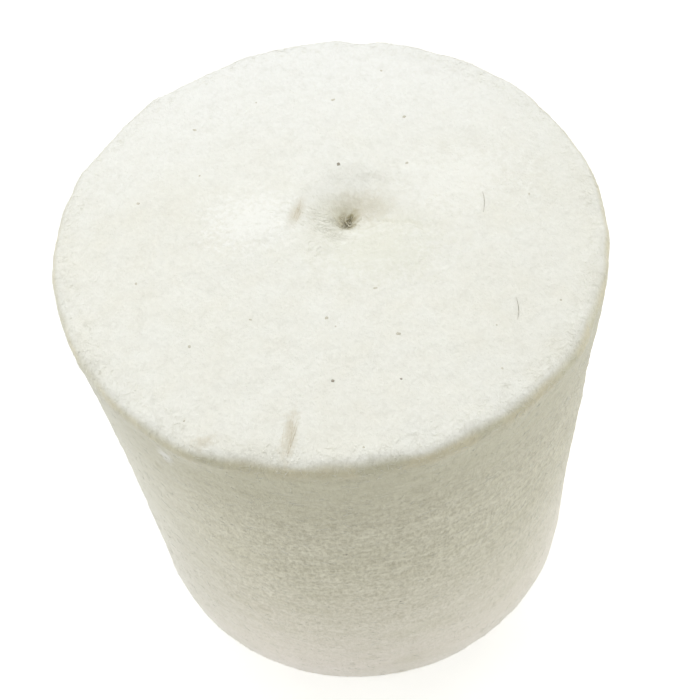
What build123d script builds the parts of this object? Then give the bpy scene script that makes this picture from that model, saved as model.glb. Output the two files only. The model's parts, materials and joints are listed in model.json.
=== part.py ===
from build123d import *
import os

# Felt polishing wheel: a solid cylinder of hard pressed wool, as deep as it is
# wide, with a pilot hole punched along its axis. A tapered screw spindle is
# twisted into the hole from the dished end. The felt is one piece, so the wheel
# is one node. It stands on its base at the origin, with the spindle axis along +Z.
# All lengths are in millimetres.

# Driving dimensions of the wheel
WHEEL_DIAMETER = 50.8
WHEEL_LENGTH = 50.8
TOP_RIM_RADIUS = 1.1
BASE_RIM_RADIUS = 0.9

# The dish that the punch leaves around the hole
DISH_DIAMETER = 13.4
DISH_DEPTH = 2.6
DISH_LIP_RADIUS = 1.2

# The pilot hole for the tapered spindle
HOLE_DIAMETER = 1.6

WHEEL_RADIUS = WHEEL_DIAMETER / 2
HOLE_RADIUS = HOLE_DIAMETER / 2
DISH_FLOOR = WHEEL_LENGTH - DISH_DEPTH


def felt_blank():
    """The pressed cylinder, with both rims softened by wear and handling."""
    blank = Cylinder(
        WHEEL_RADIUS,
        WHEEL_LENGTH,
        align=(Align.CENTER, Align.CENTER, Align.MIN),
    )
    rims = blank.edges().filter_by(GeomType.CIRCLE).sort_by(Axis.Z)
    blank = fillet(rims[-1], TOP_RIM_RADIUS)
    base_rim = blank.edges().filter_by(GeomType.CIRCLE).sort_by(Axis.Z)[0]
    return fillet(base_rim, BASE_RIM_RADIUS)


def dish():
    """The shallow funnel around the hole, which narrows to the hole at its floor."""
    dish_radius = DISH_DIAMETER / 2
    mouth = (dish_radius, WHEEL_LENGTH)
    floor = (HOLE_RADIUS, DISH_FLOOR)
    with BuildPart() as funnel:
        with BuildSketch(Plane.XZ):
            with BuildLine():
                Spline(mouth, floor, tangents=[(-1, -0.25), (-1, -1.1)])
                Polyline(floor, (0, DISH_FLOOR), (0, WHEEL_LENGTH), mouth)
            make_face()
        revolve(axis=Axis.Z)
    return funnel.part


def pilot_hole():
    """The straight hole through the whole length of the wheel."""
    return Cylinder(
        HOLE_RADIUS,
        WHEEL_LENGTH,
        align=(Align.CENTER, Align.CENTER, Align.MIN),
    )


def felt_body():
    """The finished wheel: the blank less its dish and its hole."""
    body = felt_blank() - dish() - pilot_hole()
    lip = body.edges().filter_by(GeomType.CIRCLE).filter_by(
        lambda edge: abs(edge.radius - DISH_DIAMETER / 2) < 0.01
    )
    return fillet(lip, DISH_LIP_RADIUS)


def main():
    os.makedirs("parts", exist_ok=True)
    body = felt_body()
    body.label = "felt_body"
    export_step(body, "parts/felt_body.step")
    size = body.bounding_box().size
    print(f"felt_body {size.X:.2f} x {size.Y:.2f} x {size.Z:.2f} mm, {body.volume / 1000:.2f} cm3")


main()
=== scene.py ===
import json
import math
from collections import namedtuple

import bpy
import numpy as np
from mathutils import Matrix, Vector
from mathutils.bvhtree import BVHTree


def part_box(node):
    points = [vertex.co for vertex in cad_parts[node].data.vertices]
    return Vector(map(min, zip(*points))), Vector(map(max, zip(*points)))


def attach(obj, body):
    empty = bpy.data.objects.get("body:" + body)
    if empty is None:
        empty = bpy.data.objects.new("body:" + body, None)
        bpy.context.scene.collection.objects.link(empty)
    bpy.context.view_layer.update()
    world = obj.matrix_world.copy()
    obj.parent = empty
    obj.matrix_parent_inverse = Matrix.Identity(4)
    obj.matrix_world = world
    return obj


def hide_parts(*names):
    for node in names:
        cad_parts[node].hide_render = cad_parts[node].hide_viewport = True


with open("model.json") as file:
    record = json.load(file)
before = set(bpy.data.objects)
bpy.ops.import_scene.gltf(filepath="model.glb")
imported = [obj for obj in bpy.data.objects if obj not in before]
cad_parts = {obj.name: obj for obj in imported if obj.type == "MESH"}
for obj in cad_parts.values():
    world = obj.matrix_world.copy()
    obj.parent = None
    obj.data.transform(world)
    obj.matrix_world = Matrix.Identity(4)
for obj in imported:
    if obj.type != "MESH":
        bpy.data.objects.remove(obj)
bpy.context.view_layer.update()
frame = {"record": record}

# The wheel is worked out in millimetres, and each mesh is written in metres. It stands on its base
# with +X to the right, +Y to the back and +Z up. A heading is in radians, from +X towards +Y, and
# degrees round the wheel start at the front and go to the right.
MM = 0.001
low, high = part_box("felt_body")
RADIUS = (high.x - low.x) / 2 / MM
HEIGHT = (high.z - low.z) / MM
SPINDLE_HOLE = next(mount for mount in frame["record"]["mounts"] if mount["name"] == "spindle_hole")
HOLE_RADIUS = SPINDLE_HOLE["dims"]["r_mm"]
UP = np.array([0.0, 0.0, 1.0])

# Shape of the felt block
WAIST = 0.0155 * RADIUS  # how far the side draws in at half height
WAIST_START = 8.0  # nothing nearer the axis than this draws in
RIM_ROUND = 1.3  # radius of the worn upper rim
BASE_ROUND = 0.9  # radius of the lower rim
RIM_DROP = 2.2  # how far down the side the rim's own unevenness reaches
RIM_SET_BACK = 0.05  # how far the whole rim is worn back

# How finely the skin is divided: rows down each part of the outline, and sections round the axis
FACE_ROWS = 84
FACE_CROWDING = 1.25  # above 1 the face's rows crowd towards the hole
RIM_ROWS = 9
SIDE_ROWS = 132
FOOT_ROWS = 6
BASE_ROWS = 30
BORE_ROWS = 40
SECTIONS = 320

# Lumps of the pressed wool: height and size in mm, and the seed of their noise
FELT_LUMPS = [(0.15, 8.5, 1), (0.07, 3.1, 2), (0.045, 1.3, 3), (0.035, (1.6, 1.6, 0.55), 4)]
RIM_LUMPS = [(0.18, 2.4, 5), (0.22, 5.5, 6)]
BORE_LUMP_SHARE = 0.5  # the lumps are lower inside the hole
BASE_LUMP_SHARE = 0.15  # and much lower on the base, which stands on a table

# Where the worn rim stands out or falls back: degrees round from the front, half width in
# degrees, and how far in mm
RIM_LOBES = [
    (-48, 9, 0.25),
    (-31, 8.5, 0.62),
    (-20, 4, -0.22),
    (1, 6, -0.12),
    (15, 5, 0.33),
    (48, 8, 0.25),
    (130, 14, 0.20),
    (215, 10, 0.20),
]

# The dish around the hole, which the punch pulled off centre
DISH_REACH = 7.0
DISH_DEPTH = 2.6
DISH_CURVE = 1.6  # above 1 the funnel steepens towards the hole
DISH_BACK_PULL = 0.24  # the back wall is shorter by this share, and the front wall longer
DISH_RIGHT_PULL = 0.16  # the right wall is longer by this share, and the left wall shorter
THROAT_DEPTH = 0.35
THROAT_REACH = 0.8
EYE = np.array([1.75, 1.95])  # how far the hole's mouth leans from the axis
EYE_REACH = 12.0  # the lean fades out at this distance
EYE_START = 9.0  # the lean starts this far below the upper face
SLOT_WAY = np.array([0.64, 0.768])  # the hole's mouth is stretched this way
SLOT_REACH = 3.5
SLOT_STRETCH = 0.80  # how much longer the mouth gets that way
SLOT_PINCH = 0.62  # how much narrower it gets every way

# The crease that runs to the right from the hole
FOLD_DEPTH = 0.46
FOLD_START = (1.8, 4.5)  # it deepens over this stretch
FOLD_END = (7.0, 11.0)  # and fades out over this one
FOLD_BACK = 1.0
FOLD_MIDDLE = 3.6  # where the bow of the crease is furthest back
FOLD_BOW = 0.10
FOLD_WAVE = 0.13
FOLD_WAVE_RATE = 2.3  # radians for each mm to the right
FOLD_SLOPE = 1.8  # width of the gentle slope behind it
FOLD_LIP = 0.40  # width of the sharp lip in front of it
FOLD_GROOVE = 0.26  # a narrow groove along it adds this share of its depth
FOLD_GROOVE_WIDTH = 0.32

# The slow waves of the upper face
Wave = namedtuple("Wave", "height centre size heading")
DISH_SWELL = Wave(0.25, (-6.2, 1.3), (2.6, 3.8), 0.0)
FACE_SWELL = Wave(0.40, (17.0, 7.5), (2.8, 5.5), 0.5)
FACE_HOLLOW = Wave(0.35, (21.0, 0.5), (2.2, 6.0), 0.2)


def noise(points, lump, seed):
    """Smooth random values from -1 to 1, in lumps about `lump` mm across, which may differ by axis."""
    cells = 48
    table = np.random.default_rng(seed).uniform(-1, 1, (cells, cells, cells))
    place = points / np.asarray(lump, float) + 0.37 * seed
    corner = np.floor(place).astype(int)
    part = place - corner
    part = part * part * (3 - 2 * part)
    total = np.zeros(len(points))
    for step in np.ndindex(2, 2, 2):
        share = np.prod(np.where(step, part, 1 - part), axis=1)
        i, j, k = ((corner + step) % cells).T
        total += share * table[i, j, k]
    return total


def lumps(points, layers):
    """The height of all the layers of lumps at each point."""
    return sum(height * noise(points, size, seed) for height, size, seed in layers)


def smooth(value, start, end):
    """0 before start, 1 after end, and an eased slope between."""
    part = np.clip((value - start) / (end - start), 0, 1)
    return part * part * (3 - 2 * part)


def rise_of(wave, x, y):
    """The height of a rounded wave. Its size is its reach along and across its heading."""
    cosine, sine = math.cos(wave.heading), math.sin(wave.heading)
    right, back = x - wave.centre[0], y - wave.centre[1]
    along = (right * cosine + back * sine) / wave.size[0]
    across = (back * cosine - right * sine) / wave.size[1]
    return wave.height * np.exp(-(along**2 + across**2))


# ---------------------------------------------------------------- the felt block


def dish_drop(x, y):
    """How far the upper face sinks: a lopsided funnel with a steep back, and a low swell at its left."""
    right, back = x - EYE[0], y - EYE[1]
    away = np.hypot(right, back)
    angle = np.arctan2(back, right)
    reach = DISH_REACH * (1 - DISH_BACK_PULL * np.sin(angle) + DISH_RIGHT_PULL * np.cos(angle))
    funnel = DISH_DEPTH * np.clip(1 - away / reach, 0, 1) ** DISH_CURVE
    throat = THROAT_DEPTH * np.exp(-((away / THROAT_REACH) ** 2))
    return funnel + throat - rise_of(DISH_SWELL, x, y)


def fold_drop(x, y):
    """The crease right of the hole. Its front lip is sharp and the slope behind it is gentle."""
    bow = FOLD_BOW * (x - FOLD_MIDDLE) ** 2
    across = y - FOLD_BACK + bow + FOLD_WAVE * np.sin(FOLD_WAVE_RATE * x)
    depth = FOLD_DEPTH * smooth(x, *FOLD_START) * (1 - smooth(x, *FOLD_END))
    slope = np.exp(-((across / np.where(across > 0, FOLD_SLOPE, FOLD_LIP)) ** 2))
    groove = np.exp(-((across / FOLD_GROOVE_WIDTH) ** 2))
    return depth * (slope + FOLD_GROOVE * groove)


def top_waves(x, y):
    """How far the upper face rises: a swell at the back right, less a hollow nearer the rim."""
    return rise_of(FACE_SWELL, x, y) - rise_of(FACE_HOLLOW, x, y)


def profile():
    """The block's outline as rows of (radius, height, outward, upward), from the hole's mouth round."""
    shoulder = RADIUS - RIM_ROUND
    spread = np.linspace(0, 1, FACE_ROWS) ** FACE_CROWDING
    rows = [(HOLE_RADIUS + (shoulder - HOLE_RADIUS) * share, HEIGHT, 0, 1) for share in spread]
    for angle in np.linspace(0, math.pi / 2, RIM_ROWS)[1:]:
        out, up = math.sin(angle), math.cos(angle)
        rows.append((shoulder + RIM_ROUND * out, HEIGHT - RIM_ROUND * (1 - up), out, up))
    for z in np.linspace(HEIGHT - RIM_ROUND, BASE_ROUND, SIDE_ROWS)[1:]:
        rows.append((RADIUS, z, 1, 0))
    foot = RADIUS - BASE_ROUND
    for angle in np.linspace(0, math.pi / 2, FOOT_ROWS)[1:]:
        out, down = math.cos(angle), math.sin(angle)
        rows.append((foot + BASE_ROUND * out, BASE_ROUND * (1 - down), out, -down))
    for share in np.linspace(1, 0, BASE_ROWS)[1:]:
        rows.append((HOLE_RADIUS + (foot - HOLE_RADIUS) * share, 0, 0, -1))
    for z in np.linspace(0, HEIGHT, BORE_ROWS)[1:-1]:
        rows.append((HOLE_RADIUS, z, -1, 0))
    return np.array(rows, float)


def rim_stand_out(rim, direction):
    """How far the lobes move each point outwards. `rim` is 1 on the rim and 0 away from it."""
    from_front = np.degrees(np.arctan2(direction[:, 0], -direction[:, 1]))
    total = np.zeros(len(rim))
    for place, half_width, out in RIM_LOBES:
        turn_off = (from_front - place + 180) % 360 - 180
        total += rim * out * np.exp(-((turn_off / half_width) ** 2))
    return total


def pull_mouth(points, flat, radius):
    """Moves points so that the hole's top leans towards the eye and its mouth becomes a slot."""
    near_top = smooth(flat[:, 2], HEIGHT - EYE_START, HEIGHT - 0.5)
    lean = near_top * (1 - smooth(radius, HOLE_RADIUS, EYE_REACH))
    slot = near_top * (1 - smooth(radius, HOLE_RADIUS, SLOT_REACH))
    along = (points[:, :2] @ SLOT_WAY)[:, None] * SLOT_WAY
    points[:, :2] += slot[:, None] * (SLOT_STRETCH * along - SLOT_PINCH * points[:, :2])
    points[:, :2] += lean[:, None] * EYE


def block_points():
    """Every point of the block's skin, as an array of rows by sections by 3, in mm."""
    rows = profile()
    turn = np.linspace(0, 2 * math.pi, SECTIONS, endpoint=False)
    radius, z, outward, upward = (np.repeat(column, SECTIONS) for column in rows.T)
    angle = np.tile(turn, len(rows))
    direction = np.stack([np.cos(angle), np.sin(angle)], 1)
    in_bore = outward < 0
    underneath = upward < -0.5

    level = 2 * z / HEIGHT - 1
    waist = WAIST * (1 - level**2) * smooth(radius, WAIST_START, RADIUS)
    radius = radius - np.where(in_bore, 0, waist)
    flat = np.concatenate([direction * radius[:, None], z[:, None]], 1)
    facing = np.concatenate([direction * outward[:, None], upward[:, None]], 1)

    rim = np.exp(-(((flat[:, 2] - HEIGHT) / RIM_DROP) ** 2))
    rim = rim * smooth(radius, RADIUS - 3.0, RADIUS - 0.8)
    amount = lumps(flat, FELT_LUMPS)
    amount += rim * (lumps(flat, RIM_LUMPS) - RIM_SET_BACK)
    amount *= np.where(in_bore, BORE_LUMP_SHARE, 1) * np.where(underneath, BASE_LUMP_SHARE, 1)
    points = flat + facing * amount[:, None]
    points[:, :2] += rim_stand_out(rim, direction)[:, None] * direction

    pull_mouth(points, flat, radius)
    x, y = points[:, 0], points[:, 1]
    drop = dish_drop(x, y) + fold_drop(x, y) - top_waves(x, y)
    points[:, 2] -= drop * smooth(flat[:, 2], HEIGHT - 12, HEIGHT - 1)
    points[:, 2] = np.maximum(points[:, 2], 0)
    return points.reshape(len(rows), SECTIONS, 3)


def corner_grids(grid):
    """The four corners of each face of a grid that closes on itself both ways."""
    beside = np.roll(grid, -1, axis=1)
    return grid, np.roll(grid, -1, axis=0), np.roll(beside, -1, axis=0), beside


def ring_faces(rows, sections):
    """The four-sided faces of a tube that closes on itself both ways."""
    index = np.arange(rows * sections).reshape(rows, sections)
    return np.stack(corner_grids(index), -1).reshape(-1, 4)


def make_mesh(name, points, faces, material):
    """A new smooth-shaded object from points in mm and a list of face arrays."""
    mesh = bpy.data.meshes.new(name)
    corners = np.concatenate([group.ravel() for group in faces])
    sizes = np.concatenate([np.full(len(group), group.shape[1]) for group in faces])
    mesh.vertices.add(len(points))
    mesh.vertices.foreach_set("co", (points * MM).astype(np.float32).ravel())
    mesh.loops.add(len(corners))
    mesh.loops.foreach_set("vertex_index", corners.astype(np.int32))
    mesh.polygons.add(len(sizes))
    mesh.polygons.foreach_set("loop_start", (np.cumsum(sizes) - sizes).astype(np.int32))
    mesh.update(calc_edges=True)
    mesh.validate()
    mesh.shade_smooth()
    mesh.materials.append(material)
    thing = bpy.data.objects.new(name, mesh)
    bpy.context.scene.collection.objects.link(thing)
    return thing


# ---------------------------------------------------------------- materials

# The felt with its painted light and shade, and the painted shade in the gaps between its lumps
# The end colours against the side colours are partly the wool's own tone and partly painted light and
# shade: whiter where the upper face is lit, creamier where the side is in warm shade
END_WHITE = (0.91, 0.91, 0.858)
END_CREAM = (0.89, 0.88, 0.806)
# Painted cool light on the back of the ends
END_PAINTED_COOL_LIGHT = (0.935, 0.94, 0.92)
SIDE_CREAM = (0.895, 0.870, 0.70)
SIDE_TAN = (0.84, 0.804, 0.637)
# Painted shade under the rim and towards the side's edges, and random darker tone in the clouds
SIDE_TONE_AND_PAINTED_SHADE = (0.69, 0.67, 0.505)
# Painted cooler light on the left of the side
SIDE_PAINTED_COOL_LIGHT = (0.86, 0.855, 0.775)
# The next two are painted bounce light from the floor on the foot
FOOT_PAINTED_BOUNCE = (0.93, 0.873, 0.80)
FOOT_EDGE_PAINTED_BOUNCE = (0.97, 0.955, 0.92)
# Painted shade for the gaps between the lumps; the grey is also the random mottle of the upper face, and
# painted shade at its right and along the crease
PAINTED_GAP_SHADE_TAN = (0.57, 0.54, 0.40)
GREY_TONE_AND_PAINTED_SHADE = (0.62, 0.61, 0.54)
RIM_TAN = (0.83, 0.74, 0.52)

# Marks in it, and painted light and shade
# Pale wool, and a painted highlight on the dish's left swell
PALE_WOOL_AND_PAINTED_HIGHLIGHT = (0.955, 0.955, 0.915)
# Painted shade on the dish's front slope
SLOPE_PAINTED_SHADE = (0.75, 0.75, 0.635)
# Straw stains, and painted warm shade on the dish's right wall
STAIN_AND_PAINTED_SHADE_TAN = (0.62, 0.56, 0.42)
# Painted shadow between the combed fibres
COMB_PAINTED_SHADOW = (0.47, 0.46, 0.38)
# Painted brown shade in the hole's mouth and down its throat
MOUTH_PAINTED_SHADE = (0.46, 0.40, 0.20)
THROAT_PAINTED_SHADE = (0.38, 0.29, 0.12)

# What is loose on it or caught in it, each as a dark and a pale shade
FIBRE_SHADES = ((0.86, 0.85, 0.765), (0.93, 0.925, 0.86))
# Painted shade and warm bounce light on the fibres that cross the hole
PAINTED_SHADE_FIBRE_TONES = ((0.66, 0.62, 0.46), (0.94, 0.92, 0.83))
BURR_SHADES = ((0.26, 0.24, 0.20), (0.42, 0.39, 0.32))
DUST_SHADES = ((0.54, 0.51, 0.42), (0.70, 0.67, 0.58))
KEMP_SHADES = ((0.20, 0.18, 0.14), (0.42, 0.38, 0.30))
STRAW_SHADES = ((0.60, 0.54, 0.42), (0.80, 0.75, 0.64))

# Sizes in mm of what the felt's grain is made of
GRAIN_LUMP = (0.36, 0.50, 0.56)  # the matted lumps
LAY_LUMP = (2.6, 2.6, 0.55)  # the level lay of the wool on the side
STRAND_LUMP = (0.9, 0.22, 0.22)
DASH_LUMP = (1.1, 0.26, 0.26)
STRAND_WAYS = ((0.2, 3.1), (1.25, 7.7), (2.3, 13.3))  # the turn and the shift of each layer
STRAND_RISE = 0.06  # how much the strands add to the lumps' height
GRAIN_DEPTH = 0.15

# A soft mark in the wool: a ragged ellipsoid with its centre and half lengths in mm, its heading,
# how ragged its edge is, and how much of its colour shows.
Mark = namedtuple("Mark", "centre size heading ragged share colour")

# Marks on the felt; some of them are painted light and shade, as said beside them
FACE_MARKS_AND_PAINTED_LIGHT = [
    Mark((-6.7, 1.3, HEIGHT), (4.2, 3.0, 3), 0.0, 1.0, 0.85, PALE_WOOL_AND_PAINTED_HIGHLIGHT),  # the dish's left swell, with a painted highlight
    Mark((4.0, -3.0, HEIGHT), (6.0, 4.2, 4), -0.2, 0.6, 0.42, SLOPE_PAINTED_SHADE),  # painted shade on the dish's front slope
    Mark((12.8, 3.9, HEIGHT), (6.0, 3.6, 4), 0.1, 0.8, 0.50, PALE_WOOL_AND_PAINTED_HIGHLIGHT),  # the swell at the right
    Mark((-15.6, -20.0, 46.9), (0.8, 0.8, 1.3), 0.0, 0.6, 0.70, PALE_WOOL_AND_PAINTED_HIGHLIGHT),  # a tuft under the rim
    Mark((-2.8, 1.9, HEIGHT), (1.8, 0.62, 3), 1.17, 0.25, 0.46, STAIN_AND_PAINTED_SHADE_TAN),  # straw left of the hole
    Mark((-5.0, -21.7, HEIGHT), (2.7, 0.65, 3), 1.34, 0.5, 0.46, STAIN_AND_PAINTED_SHADE_TAN),  # straw at the front rim
    Mark((-11.7, -21.4, HEIGHT), (0.9, 0.7, 3), 0.3, 0.5, 0.46, STAIN_AND_PAINTED_SHADE_TAN),  # a small stain beside it
    Mark((3.4, 2.7, HEIGHT - 1), (2.7, 1.6, 3), -0.2, 0.4, 0.36, STAIN_AND_PAINTED_SHADE_TAN),  # painted warm shade on the dish's right wall
]
# Where the fibres are combed into the hole and painted shadows lie between them: the first four values
# of a mark
COMBED_PLACE = ((EYE[0] - 1.5, EYE[1] - 2.1, HEIGHT - 1), (2.1, 1.0, 2.5), -0.5, 0.5)
COMBED_SHADOW_SHARE = 0.48
# Painted brown shade in the hole's mouth, painted shade along the crease beside it, and painted dark
# brown shade down the hole's throat
HOLE_PAINTED_SHADE = [
    Mark((EYE[0] + 0.5, EYE[1] + 0.4, HEIGHT - 3), (1.1, 0.5, 2.2), 0.80, 0.5, 0.36, MOUTH_PAINTED_SHADE),
    Mark((7.0, -0.4, HEIGHT), (3.6, 0.7, 3), -0.42, 0.5, 0.10, GREY_TONE_AND_PAINTED_SHADE),
    Mark((*EYE, HEIGHT - 9), (1.9, 1.9, 6.5), 0.0, 0.1, 0.90, THROAT_PAINTED_SHADE),
]


class Nodes:
    """A short way to write a material's node tree. Lengths are in mm."""

    def __init__(self, name):
        self.material = bpy.data.materials.new(name)
        self.material.use_nodes = True
        self.tree = self.material.node_tree
        self.shader = self.tree.nodes["Principled BSDF"]
        coordinates = self.add("ShaderNodeTexCoord")
        self.facing = coordinates.outputs["Normal"]
        self.place = self.vector("MULTIPLY", coordinates.outputs["Object"], (1 / MM,) * 3)

    def add(self, kind, **settings):
        node = self.tree.nodes.new(kind)
        for key, value in settings.items():
            setattr(node, key, value)
        return node

    def feed(self, socket, value):
        """Links value to the socket, or writes it there if it is a plain number or colour."""
        if isinstance(value, bpy.types.NodeSocket):
            self.tree.links.new(value, socket)
        else:
            socket.default_value = value

    def vector(self, operation, *inputs):
        node = self.add("ShaderNodeVectorMath", operation=operation)
        for socket, value in zip(node.inputs, inputs):
            self.feed(socket, value)
        return node.outputs[0]

    def length(self, vector):
        """How long a vector is, as a socket."""
        node = self.add("ShaderNodeVectorMath", operation="LENGTH")
        self.feed(node.inputs[0], vector)
        return node.outputs["Value"]

    def split(self, vector):
        """The three parts of a vector, as sockets."""
        node = self.add("ShaderNodeSeparateXYZ")
        self.feed(node.inputs["Vector"], vector)
        return node.outputs

    def math(self, operation, *inputs):
        node = self.add("ShaderNodeMath", operation=operation)
        for socket, value in zip(node.inputs, inputs):
            self.feed(socket, value)
        return node.outputs[0]

    def noise(self, lump, detail=2.0, rough=0.55, place=None, colour=False):
        """Noise from 0 to 1 with lumps of that size in mm, which may differ by axis."""
        sizes = lump if isinstance(lump, tuple) else (lump,) * 3
        node = self.add("ShaderNodeTexNoise")
        where = self.vector("MULTIPLY", place or self.place, tuple(1 / size for size in sizes))
        self.feed(node.inputs["Vector"], where)
        for key, value in (("Scale", 1.0), ("Detail", detail), ("Roughness", rough)):
            node.inputs[key].default_value = value
        return node.outputs["Color" if colour else "Fac"]

    def span(self, value, low, high, start=0.0, end=1.0):
        """value, stretched so that low to high becomes start to end, and held there outside."""
        node = self.add("ShaderNodeMapRange", clamp=True)
        for socket, number in zip(node.inputs, (value, low, high, start, end)):
            self.feed(socket, number)
        return node.outputs["Result"]

    def blend(self, share, first, second):
        """A colour that goes from first to second as share goes from 0 to 1."""
        node = self.add("ShaderNodeMix", data_type="RGBA")
        sockets = (node.inputs[0], node.inputs[6], node.inputs[7])
        for socket, value in zip(sockets, (share, first, second)):
            self.feed(socket, (*value, 1) if isinstance(value, tuple) else value)
        return node.outputs[2]

    def hairs(self, lump, warp_lump, warp, turn, shift):
        """Winding raised lines, as fibres lie in felt: the level lines of a stretched, warped noise."""
        moved = self.vector("ADD", self.place, (shift, -shift, shift))
        bend = self.noise(warp_lump, place=moved, colour=True)
        bend = self.vector("MULTIPLY", self.vector("SUBTRACT", bend, (0.5,) * 3), (2 * warp,) * 3)
        turned = self.add("ShaderNodeMapping")
        turned.inputs["Rotation"].default_value = (0, 0, turn)
        turned.inputs["Location"].default_value = (shift, 2 * shift, 3 * shift)
        self.feed(turned.inputs["Vector"], self.vector("ADD", self.place, bend))
        lines = self.noise(lump, detail=1.0, place=turned.outputs["Vector"])
        off = self.math("ABSOLUTE", self.math("SUBTRACT", lines, 0.5))
        return self.span(off, 0.0, 0.11, 1.0, 0.0)

    def highest(self, *values):
        """The largest of values."""
        top = values[0]
        for value in values[1:]:
            top = self.math("MAXIMUM", top, value)
        return top

    def spot(self, centre, size, heading, ragged):
        """1 in the middle of a ragged ellipsoid and 0 outside it. `size` holds its half lengths."""
        inside = self.add("ShaderNodeMapping", vector_type="TEXTURE")
        inside.inputs["Location"].default_value = centre
        inside.inputs["Rotation"].default_value = (0, 0, heading)
        inside.inputs["Scale"].default_value = size
        self.feed(inside.inputs["Vector"], self.place)
        away = self.length(inside.outputs["Vector"])
        stray = self.math("MULTIPLY", self.math("SUBTRACT", self.noise(0.5), 0.5), 4 * ragged)
        return self.span(self.math("ADD", away, stray), 1.25, 0.35)

    def mark(self, colour, mark):
        """colour with that mark laid over it."""
        spot = self.spot(mark.centre, mark.size, mark.heading, mark.ragged)
        return self.blend(self.math("MULTIPLY", spot, mark.share), colour, mark.colour)

    def finish(self, colour, roughness, sheen):
        """The dull, slightly downy finish that all the wool shares, in that colour."""
        self.feed(self.shader.inputs["Base Color"], colour)
        self.shader.inputs["Roughness"].default_value = roughness
        self.shader.inputs["Specular IOR Level"].default_value = 0.12
        self.shader.inputs["Sheen Weight"].default_value = sheen
        self.shader.inputs["Sheen Roughness"].default_value = 0.5
        return self.material


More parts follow.
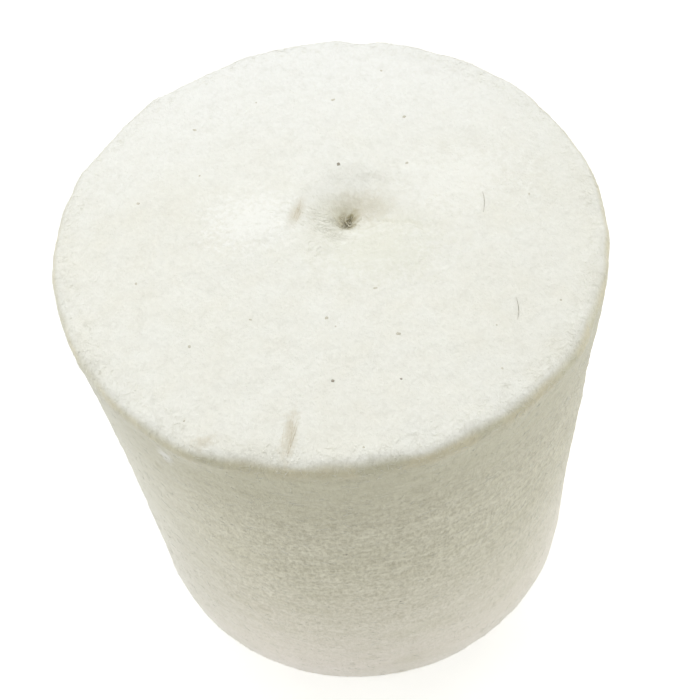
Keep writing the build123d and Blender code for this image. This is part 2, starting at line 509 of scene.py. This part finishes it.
class FeltNodes(Nodes):
    """Pressed wool: fine matted lumps with strands across them, whiter on the ends than on the side,
    partly in the wool's own tone and partly as painted light and shade.
    """

    def __init__(self):
        super().__init__("pressed_wool_felt")
        self.across, self.back, self.height = self.split(self.place)
        self.on_end = self.span(self.math("ABSOLUTE", self.split(self.facing)[2]), 0.50, 0.92)
        self.on_wall = self.math("SUBTRACT", 1.0, self.on_end)
        self.near_foot = self.span(self.height, 30.0, 3.0)
        self.calm = self.calm_share()
        self.lumps = self.lump_height()
        clouds = self.span(self.noise(6.0), 0.38, 0.64)
        patches = self.span(self.noise((2.4, 2.4, 1.3), detail=3.0), 0.42, 0.70)
        self.tint = self.math("MULTIPLY", self.math("ADD", clouds, patches), 0.5)

    def calm_share(self):
        """Where the side's grain is faint: near the foot, under the rim, and at the front left."""
        under_rim = self.span(self.height, 41.0, 48.0, 0.0, 0.6)
        at_left = self.span(self.across, -7.0, -21.0, 0.0, 0.9)
        at_left = self.math("MULTIPLY", at_left, self.span(self.back, 4.0, 16.0, 1.0, 0.5))
        return self.math("MULTIPLY", self.highest(self.near_foot, under_rim, at_left), self.on_wall)

    def lump_height(self):
        """The matted lumps, which on the side follow the level lay of the wool."""
        fine = self.noise(GRAIN_LUMP, detail=3.0, rough=0.65)
        lay = self.math("SUBTRACT", self.noise(LAY_LUMP, detail=2.0), 0.5)
        lay = self.math("MULTIPLY", lay, self.math("MULTIPLY", self.on_wall, 0.35))
        return self.math("ADD", fine, lay)

    def relief(self):
        """The lumps with strands across them, as a height for the bump."""
        strands = self.highest(*[self.hairs(STRAND_LUMP, 1.0, 0.32, *way) for way in STRAND_WAYS])
        return self.math("ADD", self.lumps, self.math("MULTIPLY", strands, STRAND_RISE))

    def end_colour(self):
        """The upper face and the base: paler at the back with painted cool light, and a little greyer at
        the right with painted shade.
        """
        end = self.blend(self.tint, END_WHITE, END_CREAM)
        # Painted cool light makes the back paler
        end = self.blend(self.span(self.back, 3.0, 24.0), end, END_PAINTED_COOL_LIGHT)
        mottle = self.span(self.noise(1.1, detail=3.0, rough=0.65), 0.50, 0.70, 0.0, 0.16)
        end = self.blend(mottle, end, GREY_TONE_AND_PAINTED_SHADE)
        # Painted shade greys the right a little
        return self.blend(self.span(self.across, 7.0, 20.0, 0.0, 0.10), end, GREY_TONE_AND_PAINTED_SHADE)

    def side_colour(self):
        """The side: darker under the rim and towards both edges with painted shade, pale at the foot
        with painted floor bounce light, and grey at the left with painted cooler light.
        """
        side = self.blend(self.tint, SIDE_CREAM, SIDE_TAN)
        # Painted bounce light from the floor makes the foot paler
        side = self.blend(self.near_foot, side, FOOT_PAINTED_BOUNCE)
        cloudy = self.span(self.noise((7.0, 7.0, 4.0), detail=2.0), 0.50, 0.72, 0.0, 0.35)
        # Painted shade darkens the side under the rim
        under_rim = self.span(self.height, 36.0, 46.0, 0.0, 0.9)
        side = self.blend(self.highest(cloudy, under_rim), side, SIDE_TONE_AND_PAINTED_SHADE)
        # Painted shade darkens the side towards both outer edges
        off_middle = self.math("ABSOLUTE", self.math("ADD", self.across, 5.0))
        side = self.blend(self.span(off_middle, 5.0, 20.0, 0.0, 0.24), side, SIDE_TONE_AND_PAINTED_SHADE)
        # Painted cooler light greys the left
        side = self.blend(self.span(self.across, -12.0, -22.0, 0.0, 0.55), side, SIDE_PAINTED_COOL_LIGHT)
        # Painted bounce light makes the lowest edge paler still
        return self.blend(self.span(self.height, 4.0, 0.5, 0.0, 0.4), side, FOOT_EDGE_PAINTED_BOUNCE)

    def with_painted_gap_shade(self, colour):
        """colour with painted shade in the gaps between the lumps, which is faint where the wool is
        calm.
        """
        side_gap_shade = self.math("MULTIPLY", self.on_wall, self.span(self.calm, 0.0, 1.0, 1.0, 0.18))
        depth = self.math("ADD", side_gap_shade, self.math("MULTIPLY", self.on_end, 0.14))
        gaps = self.math("MULTIPLY", self.span(self.lumps, 0.66, 0.34), depth)
        return self.blend(gaps, colour, self.blend(self.on_end, PAINTED_GAP_SHADE_TAN, GREY_TONE_AND_PAINTED_SHADE))

    def with_rim(self, colour):
        """colour with patches of tan along the worn upper rim."""
        rim = self.span(self.height, HEIGHT - 2.0, HEIGHT - 1.0)
        rim = self.math("MULTIPLY", rim, self.span(self.on_end, 0.85, 0.25))
        rim = self.math("MULTIPLY", rim, self.span(self.noise(3.6), 0.42, 0.60, 0.0, 0.35))
        return self.blend(rim, colour, RIM_TAN)

    def with_combed_painted_shadows(self, colour):
        """colour with short dark dashes of painted shadow between the fibres that are combed into the
        hole.
        """
        dashes = self.hairs(DASH_LUMP, 1.2, 0.12, turn=0.35, shift=5.3)
        dashes = self.math("MULTIPLY", dashes, COMBED_SHADOW_SHARE)
        return self.blend(self.math("MULTIPLY", self.spot(*COMBED_PLACE), dashes), colour, COMB_PAINTED_SHADOW)


def felt_material():
    """The felt's grain and colours, with the marks that are in it and the light and shade that are
    painted on it.
    """
    felt = FeltNodes()
    # The ends are whiter than the side partly in the wool's own tone, and partly as painted light on the
    # lit upper face and painted warm shade on the side
    colour = felt.blend(felt.on_end, felt.side_colour(), felt.end_colour())
    # Painted shade darkens the gaps between the lumps
    colour = felt.with_rim(felt.with_painted_gap_shade(colour))
    for mark in FACE_MARKS_AND_PAINTED_LIGHT:
        colour = felt.mark(colour, mark)
    # Painted shadows lie between the combed fibres
    colour = felt.with_combed_painted_shadows(colour)
    # Painted shade in the hole and along the crease
    for mark in HOLE_PAINTED_SHADE:
        colour = felt.mark(colour, mark)

    grain = felt.add("ShaderNodeBump")
    felt.feed(grain.inputs["Strength"], felt.span(felt.calm, 0.0, 1.0, 1.0, 0.40))
    grain.inputs["Distance"].default_value = GRAIN_DEPTH * MM
    felt.feed(grain.inputs["Height"], felt.relief())
    felt.feed(felt.shader.inputs["Normal"], grain.outputs["Normal"])
    return felt.finish(colour, roughness=0.95, sheen=0.5)


def fibre_material():
    """Loose wool fibres: paler than the felt behind them, and no two quite the same shade."""
    wool = Nodes("loose_wool_fibre")
    shade = wool.span(wool.noise(0.6, detail=2.0), 0.36, 0.64)
    return wool.finish(wool.blend(shade, *FIBRE_SHADES), roughness=0.8, sheen=0.15)


def speck_material(name, shades):
    """Burr, dust, straw, coarse hair, or wool in painted shade, mottled along its length."""
    bit = Nodes(name)
    mottle = bit.span(bit.noise(0.25, 3.0), 0.35, 0.65)
    return bit.finish(bit.blend(mottle, *shades), roughness=0.8, sheen=0.0)


# ---------------------------------------------------------------- loose fibres

FIBRE_SINK = 0.03  # how deep the ends of the fibres are in the felt
FIBRE_CURL = 0.9  # radians
FIBRE_WIGGLE = 0.45  # radians
TOP_FIBRES = 7000
SIDE_FIBRES = 6000  # on each quarter of the side
RIM_FIBRES = 3500
BASE_FIBRES = 2000
COMBED_FIBRES = 520
BRIDGING_FIBRES = 44


def unit(vectors):
    """The vectors, each made one unit long."""
    return vectors / np.maximum(np.linalg.norm(vectors, axis=-1, keepdims=True), 1e-12)


def scatter(block, count, seed, cover):
    """Random points on the skin with the normal at each. `cover` says how thickly wool stands."""
    rng = np.random.default_rng(seed)
    corners = np.stack(corner_grids(block), 2).reshape(-1, 4, 3)
    across = np.cross(corners[:, 2] - corners[:, 0], corners[:, 3] - corners[:, 1])
    area = np.linalg.norm(across, axis=1) / 2
    normal, middle = unit(across), corners.mean(1)
    share = np.cumsum(area * cover(middle, normal))
    pick = np.searchsorted(share, rng.uniform(0, share[-1], count))
    first, second = rng.uniform(0, 1, (2, count, 1))
    chosen = corners[pick]
    near = chosen[:, 0] * (1 - first) + chosen[:, 1] * first
    far = chosen[:, 3] * (1 - first) + chosen[:, 2] * first
    return near * (1 - second) + far * second, normal[pick]


def tubes(paths, radii, away, sides=3):
    """Points and faces of a closed tube round each path. `away` is a vector that no path runs along."""
    count, steps = paths.shape[:2]
    along = unit(np.gradient(paths, axis=1))
    out = unit(away[:, None] - (away[:, None] * along).sum(-1, keepdims=True) * along)
    across = np.cross(along, out)
    turn = np.arange(sides) * 2 * math.pi / sides
    ring = np.cos(turn)[:, None] * out[:, :, None] + np.sin(turn)[:, None] * across[:, :, None]
    points = paths[:, :, None] + radii[:, :, None, None] * ring
    index = np.arange(count * steps * sides).reshape(count, steps, sides)
    beside = np.roll(index, -1, axis=2)
    walls = np.stack([index[:, :-1], beside[:, :-1], beside[:, 1:], index[:, 1:]], -1).reshape(-1, 4)
    ends = np.concatenate([index[:, 0, ::-1], index[:, -1]])
    return points.reshape(-1, 3), [walls, ends]


def fibres(name, roots, heading, seed, material, length, thick, lift, wander, steps=5, free=0.35):
    """Wool fibres lying on the felt as one piece. Ranges are in mm.

    `heading` is the way they tend to lie and `wander` how far they stray from it, in radians.
    Most are low loops with both ends in the felt, and the share `free` has one end up in the air."""
    rng = np.random.default_rng(seed)
    place, normal = roots
    count = len(place)
    first = unit(heading - (heading * normal).sum(1, keepdims=True) * normal)
    second = np.cross(normal, first)
    part = np.linspace(0, 1, steps)
    reach = rng.uniform(*length, count) * rng.uniform(0.6, 1.0, count)
    curl = rng.normal(0, FIBRE_CURL, (count, 1)) * (part - 0.5)
    wiggle = rng.normal(0, FIBRE_WIGGLE, (count, 1))
    wiggle = wiggle * np.sin(2 * math.pi * (part + rng.uniform(0, 1, (count, 1))))
    angle = rng.normal(0, wander, (count, 1)) + curl + wiggle
    step = (reach / (steps - 1))[:, None, None]
    travel = np.cos(angle)[..., None] * first[:, None] + np.sin(angle)[..., None] * second[:, None]
    path = np.cumsum(travel * step, axis=1)
    path -= path.mean(axis=1, keepdims=True)
    height = rng.uniform(*lift, (count, 1))
    loose = rng.uniform(0, 1, (count, 1)) < free
    rise = np.where(loose, 1.6 * height * part**1.4, height * np.sin(math.pi * part)) - FIBRE_SINK
    path += place[:, None] + rise[..., None] * normal[:, None]
    taper = np.sin(math.pi * np.clip(part * 0.86 + 0.07, 0, 1)) ** 0.5
    radii = (thick[0] + (thick[1] - thick[0]) * rng.uniform(0, 1, (count, 1)) ** 3) * taper
    path[..., 2] = np.maximum(path[..., 2], radii)
    return make_mesh(name, *tubes(path, radii, normal), material)


def round_the_axis(place):
    """The level direction round the wheel at each point."""
    return unit(np.stack([-place[:, 1], place[:, 0], np.zeros(len(place))], 1))


def towards_eye(place):
    """The direction from each point to the hole's mouth."""
    way = np.zeros_like(place)
    way[:, :2] = EYE - place[:, :2]
    return unit(way)


def on_top(middle, normal):
    """The upper face, down to the hole's edge."""
    outside_hole = np.hypot(*(middle[:, :2] - EYE).T) > HOLE_RADIUS
    return (normal[:, 2] > 0.45) * (middle[:, 2] > HEIGHT - 5) * outside_hole


def on_rim(middle, normal):
    """The upper rim, with fewer fibres where it stands upright."""
    outside = np.hypot(middle[:, 0], middle[:, 1]) > RADIUS - 2.2
    return outside * (middle[:, 2] > HEIGHT - 2.4) * (0.25 + (np.abs(normal[:, 2] - 0.55) < 0.5))


def on_base(middle, normal):
    """The base and its edge, away from the hole."""
    return (middle[:, 2] < 2) * (np.hypot(middle[:, 0], middle[:, 1]) > 3) * 1.0


def on_side(turn):
    """The quarter of the side that faces `turn` degrees round from the front."""
    facing = np.array([math.sin(math.radians(turn)), -math.cos(math.radians(turn))])

    def cover(middle, normal):
        inside = (normal[:, :2] @ facing) > math.sqrt(0.5)
        return inside * (np.abs(normal[:, 2]) < 0.6) * (middle[:, 2] > 0.3)

    return cover


def round_eye(middle, normal):
    """The dish's inner wall, thickest at the front left of the hole."""
    off = middle[:, :2] - EYE
    away = np.hypot(*off.T)
    front_left = 0.02 + 2.0 * ((off @ np.array([-0.86, -0.51])) > 0.72 * away)
    return front_left * (away > 1.2) * np.exp(-away / 1.5) * (middle[:, 2] > HEIGHT - 7)


def nap(block):
    """All the loose wool: lying fibres on every face, fuzz on the rim, and fibres round the hole."""
    wool = fibre_material()
    made = []
    roots = scatter(block, TOP_FIBRES, 20, on_top)
    heading = np.random.default_rng(30).normal(0, 1, (len(roots[0]), 3))
    made.append(fibres(
        "top_nap", roots, heading, 40, wool,
        length=(0.5, 1.6), thick=(0.008, 0.030), lift=(0.0, 0.03), wander=0.5,
    ))
    for quarter, side in enumerate(("front", "right", "back", "left")):
        roots = scatter(block, SIDE_FIBRES, 50 + quarter, on_side(90 * quarter))
        made.append(fibres(
            f"side_nap_{side}", roots, round_the_axis(roots[0]), 60 + quarter, wool,
            length=(0.5, 1.8), thick=(0.008, 0.034), lift=(0.0, 0.05), wander=1.3,
        ))
    roots = scatter(block, RIM_FIBRES, 70, on_rim)
    made.append(fibres(
        "rim_fuzz", roots, round_the_axis(roots[0]), 71, wool,
        length=(0.5, 1.5), thick=(0.008, 0.013), lift=(0.0, 0.12), wander=1.2, free=0.4,
    ))
    roots = scatter(block, BASE_FIBRES, 72, on_base)
    made.append(fibres(
        "base_nap", roots, round_the_axis(roots[0]), 73, wool,
        length=(0.5, 1.5), thick=(0.010, 0.016), lift=(0.01, 0.03), wander=2.0, free=0.0,
    ))
    roots = scatter(block, COMBED_FIBRES, 80, round_eye)
    made.append(fibres(
        "combed_fibres", roots, towards_eye(roots[0]), 81, wool,
        length=(0.8, 2.2), thick=(0.010, 0.026), lift=(0.01, 0.06), wander=0.20, steps=6, free=0.15,
    ))
    return made + [bridging_fibres()]


def bridging_fibres():
    """Fibres that cross the hole's mouth, mostly at its front left, darker and warmer with the painted
    shade and warm bounce light of the hole.
    """
    rng = np.random.default_rng(82)
    count, steps = BRIDGING_FIBRES, 7
    floor_z = HEIGHT - DISH_DEPTH
    off = rng.normal(0, 0.48, (2, count)) + [[-0.38], [-0.22]]
    middle = np.stack([*(EYE[:, None] + off), floor_z + rng.uniform(-0.3, 0.5, count)], 1)
    turn = rng.uniform(0, math.pi, (count, 1))
    part = np.linspace(-1, 1, steps)
    angle = turn + rng.normal(0, 0.5, (count, 1)) * part
    half = rng.uniform(0.55, 1.0, (count, 1))
    bow = 0.5 * half * part**2
    path = np.stack([half * part * np.cos(angle), half * part * np.sin(angle), bow], -1)
    radii = rng.uniform(0.018, 0.036, (count, 1)) * (1 - 0.4 * part**2)
    material = speck_material("hole_shade_wool_fibre", PAINTED_SHADE_FIBRE_TONES)
    shape = tubes(path + middle[:, None], radii, np.tile(UP, (count, 1)))
    return make_mesh("bridging_fibres", *shape, material)


# ---------------------------------------------------------------- bits caught in the wool

# Places on the upper face are (right, back, size) from the axis, and places on the side are
# (degrees round from the front, height, size).
DARK_TOP = [(1.6, 7.3, 0.50), (-1.0, -16.9, 0.42), (4.6, -17.5, 0.24)]
DARK_SIDE = [
    (54.0, 34.6, 0.36), (-3.9, 34.2, 0.30), (6.7, 21.1, 0.28),
    (118, 30, 0.26), (201, 41, 0.28), (282, 37, 0.22),
]
FAINT_TOP = [
    (-12.8, -11.9, 0.38), (-12.0, 14.0, 0.44), (1.8, 15.9, 0.44), (8.5, 12.5, 0.40),
    (8.0, 6.5, 0.44), (-1.0, -10.5, 0.46), (4.9, -13.0, 0.44), (-17.4, 5.0, 0.46),
    (3.5, -7.9, 0.38), (-17.5, -4.4, 0.34), (19.0, -11.4, 0.32), (7.0, 19.4, 0.36),
    (-0.3, -11.5, 0.28), (12.9, -17.6, 0.28), (18.6, 1.0, 0.30), (-11.6, 7.6, 0.28),
    (-7.5, -9.8, 0.26), (-5.8, 16.8, 0.26), (13.2, -13.2, 0.26), (-13.3, -19.2, 0.26),
    (0.9, -23.5, 0.28),
]
FAINT_SIDE = [(-55.0, 20.2, 0.34), (33.3, 38.5, 0.24), (164, 12, 0.22), (243, 24, 0.24)]

# Each hair goes through three places on the upper face. KEMP_RADII are the radii at the middle.
KEMP_LINES = [((14.4, 1.8), (14.4, 0.7), (14.1, -0.7)), ((15.3, -10.6), (15.3, -11.8), (15.0, -12.9))]
KEMP_RADII = (0.022, 0.020)
KEMP_LIFT = 0.04
KEMP_STEPS = 10

# Each bundle of straw is its middle, its heading and its half length.
STRAW_BUNDLES = [(-2.8, 1.9, 1.17, 1.5), (-5.0, -21.6, 1.34, 2.4)]
STRANDS_IN_BUNDLE = 8
STRAW_STEPS = 8


class Surface:
    """Finds the felt's surface at a place on the upper face or on the side."""

    def __init__(self, block):
        rows, sections = block.shape[:2]
        points, faces = block.reshape(-1, 3), ring_faces(rows, sections)
        self.tree = BVHTree.FromPolygons(points.tolist(), faces.tolist())

    def above(self, x, y):
        return self.tree.ray_cast(Vector((x, y, HEIGHT + 10)), Vector((0, 0, -1)))[:2]

    def beside(self, turn, z):
        facing = Vector((math.sin(math.radians(turn)), -math.cos(math.radians(turn)), 0))
        return self.tree.ray_cast(facing * 2 * RADIUS + Vector((0, 0, z)), -facing)[:2]


def pebble(place, normal, size, rng, around, levels):
    """The points of an uneven flattened pebble, sunk a little into the felt."""
    turn = np.arange(around) * 2 * math.pi / around
    rise = math.pi * (np.arange(levels) + 0.5)[:, None] / levels
    first = unit(np.cross(normal, rng.normal(0, 1, 3)))
    second = np.cross(normal, first)
    width = size / 2 * np.sin(rise) * rng.uniform(0.75, 1.15, (levels, around))
    long_way = rng.uniform(1.0, 1.6)
    flat = (width * long_way * np.cos(turn))[..., None] * first
    flat = flat + (width * np.sin(turn))[..., None] * second
    height = 0.15 * size * np.cos(rise) - 0.10 * size
    return (place + flat + height[..., None] * normal).reshape(-1, 3)


def specks(name, surface, on_face, on_wall, shades, seed):
    """Crumbs of burr or dust, each a pebble pressed into the felt."""
    rng = np.random.default_rng(seed)
    spots = [(surface.above(x, y), size) for x, y, size in on_face]
    spots += [(surface.beside(turn, z), size) for turn, z, size in on_wall]
    around, levels = 9, 5
    rings = np.arange(around * levels).reshape(levels, around)
    beside = np.roll(rings, -1, axis=1)
    wall = np.stack([rings[1:], beside[1:], beside[:-1], rings[:-1]], -1).reshape(-1, 4)
    points, walls, caps = [], [], []
    for number, ((place, normal), size) in enumerate(spots):
        points.append(pebble(np.array(place), np.array(normal), size, rng, around, levels))
        start = number * rings.size
        walls.append(wall + start)
        caps += [rings[0] + start, rings[-1, ::-1] + start]
    faces = [np.concatenate(walls), np.array(caps)]
    return make_mesh(name, np.concatenate(points), faces, speck_material(name, shades))


def strip_on_top(surface, places, lift, steps):
    """A smooth path over the upper face through places, raised by lift."""
    knots = np.linspace(0, 1, len(places))
    at = np.linspace(0, 1, steps)
    fits = [np.polyfit(knots, [place[axis] for place in places], len(places) - 1) for axis in (0, 1)]
    path = [surface.above(np.polyval(fits[0], part), np.polyval(fits[1], part))[0] for part in at]
    path = np.array([list(point) for point in path])
    path[:, 2] += lift
    return path


def kemp_hairs(surface):
    """Coarse dark hairs lying on the upper face."""
    paths = np.stack([strip_on_top(surface, line, KEMP_LIFT, KEMP_STEPS) for line in KEMP_LINES])
    taper = np.sin(np.linspace(0.35, math.pi - 0.35, KEMP_STEPS))
    radii = np.outer(KEMP_RADII, taper)
    shape = tubes(paths, radii, np.tile(UP, (len(paths), 1)), sides=6)
    return make_mesh("kemp_hairs", *shape, speck_material("kemp_hair", KEMP_SHADES))


def straw_strands(surface):
    """Tan strands in two bundles: one down the left wall of the dish and one over the front rim."""
    rng = np.random.default_rng(91)
    paths = []
    for x, y, bundle_heading, half in STRAW_BUNDLES:
        for _ in range(STRANDS_IN_BUNDLE):
            heading = bundle_heading + rng.normal(0, 0.10)
            middle = np.array((x + rng.normal(0, 0.24), y + rng.normal(0, 0.35)))
            way = half * rng.uniform(0.4, 0.8) * np.array((math.cos(heading), math.sin(heading)))
            places = [middle - way, middle, middle + way]
            paths.append(strip_on_top(surface, places, rng.uniform(-0.01, 0.02), STRAW_STEPS))
    taper = np.sin(np.linspace(0.3, math.pi - 0.3, STRAW_STEPS))
    radii = rng.uniform(0.012, 0.024, (len(paths), 1)) * taper
    shape = tubes(np.stack(paths), radii, np.tile(UP, (len(paths), 1)), sides=5)
    return make_mesh("straw_strands", *shape, speck_material("straw_strand", STRAW_SHADES))


# ---------------------------------------------------------------- studio

# Each lamp's place and size in wheel radii, its power in watts, and its colour
LAMPS = {
    "key_light": ((0, 1, 12), 8, 0.25, (0.99, 1.0, 0.99)),
    "left_light": ((-10, 0, 6), 6, 0.135, (0.98, 0.99, 1.0)),
    "right_light": ((10, 0, 3.5), 6, 0.122, (0.98, 0.99, 1.0)),
    "back_left_light": ((-6, 6, 9), 6, 0.145, (0.97, 0.99, 1.0)),
    "back_right_light": ((6, 6, 9), 6, 0.155, (0.97, 0.99, 1.0)),
}
FILL_COLOUR = (1.0, 0.985, 0.92, 1)
FILL_STRENGTH = 0.38
PAPER_SHADES = ((0.88, 0.88, 0.88), (0.91, 0.91, 0.91))
PAPER_HALF_WIDTH = 60 * RADIUS

CAMERA_PITCH = 55.55  # degrees down from level
CAMERA_ROLL = 6.48  # degrees
CAMERA_LENS = 57.13  # mm, on a sensor 36 mm wide
CAMERA_PLACE = (0.0273, -2.624, 5.018)  # in wheel radii


def softbox(name, place, size, power, colour):
    """A round area light that faces the wheel. Its place and size are in wheel radii."""
    light = bpy.data.lights.new(name, "AREA")
    light.shape, light.size = "DISK", size * RADIUS * MM
    light.energy, light.color = power, colour
    lamp = bpy.data.objects.new(name, light)
    lamp.location = Vector(place) * RADIUS * MM
    aim = Vector((0, 0, RADIUS * MM)) - lamp.location
    lamp.rotation_euler = aim.to_track_quat("-Z", "Y").to_euler()
    lamp.visible_camera = False
    bpy.context.scene.collection.objects.link(lamp)


def floor():
    """A wide sheet of white paper on a light table that is brightest and warmest under the wheel."""
    half = PAPER_HALF_WIDTH
    corners = np.array([(-half, -half, 0), (half, -half, 0), (half, half, 0), (-half, half, 0)], float)
    paper = Nodes("floor_paper")
    paper.feed(paper.shader.inputs["Base Color"], paper.blend(paper.noise(40.0), *PAPER_SHADES))
    away = paper.span(paper.length(paper.place), 1.5 * RADIUS, 3.3 * RADIUS)
    glow = paper.blend(away, (1.0, 1.0, 0.98), (1.0, 1.0, 1.0))
    paper.feed(paper.shader.inputs["Emission Color"], glow)
    paper.feed(paper.shader.inputs["Emission Strength"], paper.span(away, 0, 1, 0.40, 0.24))
    paper.shader.inputs["Roughness"].default_value = 0.9
    sheet = make_mesh("floor", corners, [np.array([[0, 1, 2, 3]])], paper.material)


def studio():
    """Soft light: a large lamp overhead, one at each side, two behind, and a weak warm fill."""
    floor()
    world = bpy.data.worlds.new("studio")
    world.use_nodes = True
    fill = world.node_tree.nodes["Background"]
    fill.inputs["Color"].default_value = FILL_COLOUR
    fill.inputs["Strength"].default_value = FILL_STRENGTH
    bpy.context.scene.world = world
    for name, settings in LAMPS.items():
        softbox(name, *settings)
    bpy.context.scene.view_settings.view_transform = "Standard"


def camera():
    """The viewpoint: close above the front of the wheel, looking down, and turned a little."""
    pitch, roll = math.radians(CAMERA_PITCH), math.radians(CAMERA_ROLL)
    ahead = Vector((0, math.cos(pitch), -math.sin(pitch)))
    level, sideways = Vector((0, math.sin(pitch), math.cos(pitch))), Vector((1, 0, 0))
    right = sideways * math.cos(roll) - level * math.sin(roll)
    up = sideways * math.sin(roll) + level * math.cos(roll)
    data = bpy.data.cameras.new("camera")
    data.sensor_width, data.lens = 36.0, CAMERA_LENS
    data.clip_start, data.clip_end = 0.005, 20
    eye = bpy.data.objects.new("camera", data)
    turn = Matrix((right, up, -ahead)).transposed().to_4x4()
    eye.matrix_world = Matrix.Translation(Vector(CAMERA_PLACE) * RADIUS * MM) @ turn
    bpy.context.scene.collection.objects.link(eye)
    bpy.context.scene.camera = eye


def main():
    block = block_points()
    rows, sections = block.shape[:2]
    skin = make_mesh("felt_skin", block.reshape(-1, 3), [ring_faces(rows, sections)], felt_material())
    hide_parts("felt_body")
    surface = Surface(block)
    dark = specks("burr_specks", surface, DARK_TOP, DARK_SIDE, BURR_SHADES, 90)
    faint = specks("dust_specks", surface, FAINT_TOP, FAINT_SIDE, DUST_SHADES, 92)
    pieces = [skin, dark, faint, kemp_hairs(surface), straw_strands(surface)]
    pieces += nap(block)
    for piece in pieces:
        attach(piece, "root")
    studio()
    camera()


main()
